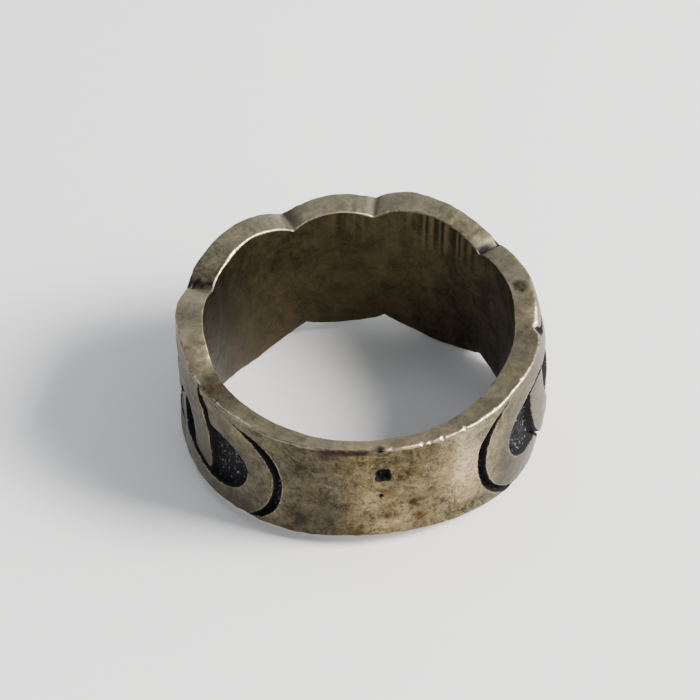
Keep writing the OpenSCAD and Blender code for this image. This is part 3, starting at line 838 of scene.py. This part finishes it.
def metalMaterial():
    # Worn metal whose tone, soot, stains, painted light and shade and painted highlights follow the
    # attributes.
    material = bpy.data.materials.new("wornWhiteMetal")
    material.use_nodes = True
    tree = material.node_tree
    shader = tree.nodes["Principled BSDF"]
    coords = tree.nodes.new("ShaderNodeTexCoord")

    def put(kind, settings, **inputs):
        # A node with its settings, and its inputs given as values or as sockets to link.
        made = tree.nodes.new(kind)
        for key, value in settings.items():
            setattr(made, key, value)
        for key, value in inputs.items():
            socket = made.inputs[int(key[1:])] if key[0] == "i" and key[1:].isdigit() else made.inputs[key]
            if isinstance(value, bpy.types.NodeSocket):
                tree.links.new(value, socket)
            else:
                socket.default_value = value
        return made

    def noise(sizeMm, detail, rough, swirl):
        inputs = {"Scale": 1 / (sizeMm * mm), "Detail": detail, "Roughness": rough, "Distortion": swirl}
        made = put("ShaderNodeTexNoise", {}, **inputs)
        tree.links.new(coords.outputs["Object"], made.inputs["Vector"])
        return made.outputs["Fac"]

    def attribute(name):
        return put("ShaderNodeAttribute", {"attribute_name": name}).outputs["Fac"]

    def maths(operation, a, b, clamp=False):
        return put("ShaderNodeMath", {"operation": operation, "use_clamp": clamp}, i0=a, i1=b).outputs[0]

    def stretch(value, span):
        # From low and high to what the span makes of them, or to 0 and 1.
        low, high, toLow, toHigh = (*spans[span], 0, 1)[:4]
        made = put("ShaderNodeMapRange", {"clamp": True}, i0=value, i1=low, i2=high, i3=toLow, i4=toHigh)
        return made.outputs[0]

    def mixed(factor, a, b):
        made = put("ShaderNodeMix", {"data_type": "RGBA"}, Factor=factor)
        for value, socket in ((a, made.inputs[6]), (b, made.inputs[7])):
            if isinstance(value, tuple):
                socket.default_value = linear(*value)
            else:
                tree.links.new(value, socket)
        return made.outputs[2]

    def mixedValue(factor, a, b):
        made = put("ShaderNodeMix", {"data_type": "FLOAT"}, i0=factor, i2=a, i3=b)
        return made.outputs[0]

    broad = noise(*metal["broadNoise"])
    mottle = noise(*metal["mottleNoise"])
    grain = noise(*metal["grainNoise"])
    specks = noise(*metal["speckNoise"])
    swirls = noise(*metal["swirlNoise"])
    gap, polishAndHighlight, bore = attribute("darkGap"), attribute("polishAndHighlight"), attribute("bore")
    stain, redBand, streak = attribute("stain"), attribute("redBand"), attribute("streak")
    warm, pinkPaleAndLit = attribute("warm"), attribute("pinkPaleAndLit")

    # The dark of the cells and grooves ends on an uneven line.
    gap = maths("ADD", gap, stretch(mottle, "edgeMottle"))
    gap = maths("ADD", gap, stretch(grain, "edgeGrain"))
    sootAndShade = maths("MAXIMUM", stretch(gap, "sootEdge"), attribute("sootAndShade"))

    # Colour: tone and warmth, the pink of pale patches and painted highlight, the bore, specks and stains,
    # then painted light and shade, the brown line, painted highlights on worn corners and rims, and soot.
    varied = maths("ADD", stretch(broad, "broadTone"), stretch(mottle, "mottleTone"))
    varied = maths("ADD", varied, stretch(swirls, "swirlTone"))
    varied = maths("ADD", varied, stretch(grain, "grainTone"))
    tone = maths("ADD", attribute("tone"), maths("MULTIPLY", varied, attribute("mottled")), True)
    boreTone = maths("ADD", tone, maths("MULTIPLY", streak, 0.5), True)
    warmth = maths("MULTIPLY", warm, stretch(mottle, "warmPatches"))
    warmer = mixed(tone, metal["warmDark"], metal["warmLight"])
    colour = mixed(warmth, mixed(tone, metal["dark"], metal["light"]), warmer)
    # Pale patches and the painted highlight, tinted pink.
    colour = mixed(maths("MULTIPLY", pinkPaleAndLit, stretch(specks, "pinkPaleAndLitSpecks")), colour, metal["pinkPaleAndLit"])
    colour = mixed(bore, colour, mixed(boreTone, metal["boreDark"], metal["boreLight"]))
    dots = maths("MULTIPLY", stretch(specks, "specks"), stretch(broad, "speckPatches"))
    dots = maths("MULTIPLY", dots, attribute("mottled"))
    colour = mixed(dots, colour, metal["speck"])
    patchy = maths("MULTIPLY", stain, stretch(mottle, "stainPatches"))
    colour = mixed(patchy, colour, metal["stain"])
    # Painted light and shade: the colour is scaled by the brightness set by place.
    paintedShading = put("ShaderNodeVectorMath", {"operation": "SCALE"}, i0=colour, Scale=attribute("paintedShade"))
    colour = paintedShading.outputs[0]
    redBand = maths("MULTIPLY", redBand, stretch(grain, "brownGrain"))
    brown = mixed(stretch(mottle, "brownPatches"), metal["redBand"], metal["redLight"])
    colour = mixed(redBand, colour, brown)
    # The rims of the grooves: worn metal painted bright as a highlight.
    litWornRims = maths("MULTIPLY", stretch(gap, "rimHighlightStarts"), stretch(gap, "rimHighlightEnds"))
    polishAndHighlight = maths("MAXIMUM", polishAndHighlight, maths("MULTIPLY", litWornRims, attribute("wornRimHighlight")))
    # Painted highlights: worn corners and rims turn near white.
    paintedLight = maths("MULTIPLY", polishAndHighlight, stretch(specks, "shineSpecks"))
    paintedLight = maths("MAXIMUM", paintedLight, stretch(polishAndHighlight, "shineWhole"))
    colour = mixed(paintedLight, colour, metal["polishAndHighlight"])
    glints = stretch(noise(*metal["glintNoise"]), "glints")
    glints = maths("MULTIPLY", glints, stretch(mottle, "glintPatches"))
    glints = maths("MULTIPLY", glints, stretch(gap, "glintsInside"))
    colour = mixed(sootAndShade, colour, mixed(glints, metal["sootAndShade"], metal["glint"]))
    tree.links.new(colour, shader.inputs["Base Color"])

    # Soot, the notches' painted shade and the brown line are dull, and hardly metal.
    rough = maths("ADD", stretch(mottle, "roughMottle"), metal["satin"])
    rough = maths("ADD", rough, maths("MULTIPLY", bore, metal["boreRough"]))
    rough = mixedValue(paintedLight, rough, metal["polished"])
    dull = maths("MAXIMUM", sootAndShade, redBand)
    rough = mixedValue(maths("MAXIMUM", dull, patchy), rough, metal["sooty"])
    tree.links.new(rough, shader.inputs["Roughness"])
    metallic = maths("SUBTRACT", 1.0, maths("MULTIPLY", dull, metal["dullMetallic"]), True)
    tree.links.new(metallic, shader.inputs["Metallic"])
    tree.links.new(mixedValue(dull, *metal["specular"]), shader.inputs["Specular IOR Level"])

    # A fine bump over the surface, rougher in the soot and the notches' painted shade.
    relief = maths("ADD", maths("MULTIPLY", grain, 0.5), mottle)
    relief = maths("ADD", relief, maths("MULTIPLY", streak, 0.5))
    relief = maths("MULTIPLY", relief, mixedValue(sootAndShade, 1.0, metal["sootBump"]))
    bump = put("ShaderNodeBump", {}, Strength=metal["bump"], Distance=metal["bumpMm"] * mm, Height=relief)
    tree.links.new(bump.outputs["Normal"], shader.inputs["Normal"])
    return material


mesh.materials.append(metalMaterial())
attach(castBand, "root")
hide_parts("band")
print("band dressed")


# A sheet of pale paper, a soft window at the right and a weak one behind on the left. The sky
# fades with height, from low to high, and goes from one side's strength to the other's.
studio = {
    "paperSize": 1.6,
    "paper": (226, 228, 230),
    "paperRough": 0.75,
    "paperShine": 0.2,
    "sky": (247, 250, 255),
    "low": 1.3,
    "high": 0.26,
    "between": (0.45, 0.85),
    "sides": (0.5, 1.75),
    "brightSide": -21,
    "window": {
        "azimuth": -21,
        "elevation": 36,
        "distance": 0.45,
        "size": 0.2,
        "power": 8.2,
        "tint": (255, 248, 240),
    },
    "second": {
        "azimuth": 118,
        "elevation": 62,
        "distance": 0.5,
        "size": 0.22,
        "power": 0.4,
        "tint": (244, 248, 255),
    },
}


def addPaper():
    # The flat sheet that the ring lies on.
    s = studio["paperSize"] / 2
    sheet = bpy.data.meshes.new("paleSheet")
    sheet.from_pydata([(-s, -s, 0), (s, -s, 0), (s, s, 0), (-s, s, 0)], [], [(0, 1, 2, 3)])
    floor = bpy.data.objects.new("paleSheet", sheet)
    bpy.context.scene.collection.objects.link(floor)
    paper = bpy.data.materials.new("palePaper")
    paper.use_nodes = True
    shader = paper.node_tree.nodes["Principled BSDF"]
    shader.inputs["Base Color"].default_value = linear(*studio["paper"])
    shader.inputs["Roughness"].default_value = studio["paperRough"]
    shader.inputs["Specular IOR Level"].default_value = studio["paperShine"]
    sheet.materials.append(paper)


def addWindow(name):
    # A square area light on a ball round the ring, facing it.
    lamp = studio[name]
    az, el = math.radians(lamp["azimuth"]), math.radians(lamp["elevation"])
    toward = Vector((math.cos(az) * math.cos(el), math.sin(az) * math.cos(el), math.sin(el)))
    light = bpy.data.lights.new(name, "AREA")
    light.shape = "SQUARE"
    light.size = lamp["size"]
    light.energy = lamp["power"]
    light.color = linear(*lamp["tint"])[:3]
    holder = bpy.data.objects.new(name, light)
    bpy.context.scene.collection.objects.link(holder)
    holder.location = toward * lamp["distance"]
    holder.rotation_euler = toward.to_track_quat("Z", "Y").to_euler()


def addSky():
    # A white tent: brighter low down than overhead, and on the window's side than on the other.
    world = bpy.data.worlds.new("studio")
    bpy.context.scene.world = world
    world.use_nodes = True
    tree = world.node_tree
    sky = tree.nodes["Background"]
    sky.inputs["Color"].default_value = linear(*studio["sky"])
    coords = tree.nodes.new("ShaderNodeTexCoord")
    split = tree.nodes.new("ShaderNodeSeparateXYZ")
    turn = math.radians(studio["brightSide"])
    facing = tree.nodes.new("ShaderNodeVectorMath")
    facing.operation = "DOT_PRODUCT"
    facing.inputs[1].default_value = (math.cos(turn), math.sin(turn), 0)
    for node in (split, facing):
        tree.links.new(coords.outputs["Generated"], node.inputs[0])
    both = tree.nodes.new("ShaderNodeMath")
    both.operation = "MULTIPLY"
    rises = (split.outputs["Z"], *studio["between"], studio["low"], studio["high"])
    turns = (facing.outputs["Value"], -1, 1, *studio["sides"])
    for k, (source, *ends) in enumerate((rises, turns)):
        fade = tree.nodes.new("ShaderNodeMapRange")
        fade.interpolation_type = "SMOOTHSTEP"
        for socket, value in zip(list(fade.inputs)[1:5], ends):
            socket.default_value = value
        tree.links.new(source, fade.inputs["Value"])
        tree.links.new(fade.outputs["Result"], both.inputs[k])
    tree.links.new(both.outputs[0], sky.inputs["Strength"])


# The camera, fitted to the ring's outline, in the band's own frame: degrees, mm and pixels.
view = {
    "azimuth": -8.9,
    "elevation": 44.7,
    "roll": -1.6,
    "distance": 237.5,
    "focalPx": 3843,
    "centreX": 360.4,
    "centreY": 373.0,
    "imagePx": 700,
    "sensor": 36,
}


def addCamera():
    # Back is towards the camera; azimuth, elevation and roll turn it.
    az, el, roll = (math.radians(view[k]) for k in ("azimuth", "elevation", "roll"))
    back = Vector((math.sin(az) * math.cos(el), -math.cos(az) * math.cos(el), math.sin(el)))
    right = Vector((math.cos(az), math.sin(az), 0))
    up = back.cross(right)
    right, up = right * math.cos(roll) + up * math.sin(roll), up * math.cos(roll) - right * math.sin(roll)
    data = bpy.data.cameras.new("camera")
    data.sensor_width = view["sensor"]
    data.lens = view["focalPx"] / view["imagePx"] * view["sensor"]
    data.shift_x = (view["imagePx"] / 2 - view["centreX"]) / view["imagePx"]
    data.shift_y = (view["centreY"] - view["imagePx"] / 2) / view["imagePx"]
    data.clip_start = 0.01
    camera = bpy.data.objects.new("camera", data)
    bpy.context.scene.collection.objects.link(camera)
    axes = bandTurn @ Matrix((right, up, back)).transposed()
    place = boreCentre + bandTurn @ back * view["distance"] * mm
    camera.matrix_world = Matrix.Translation(place) @ axes.to_4x4()
    bpy.context.scene.camera = camera


addPaper()
addWindow("window")
addWindow("second")
addSky()
addCamera()
print("stage, light and camera ready")
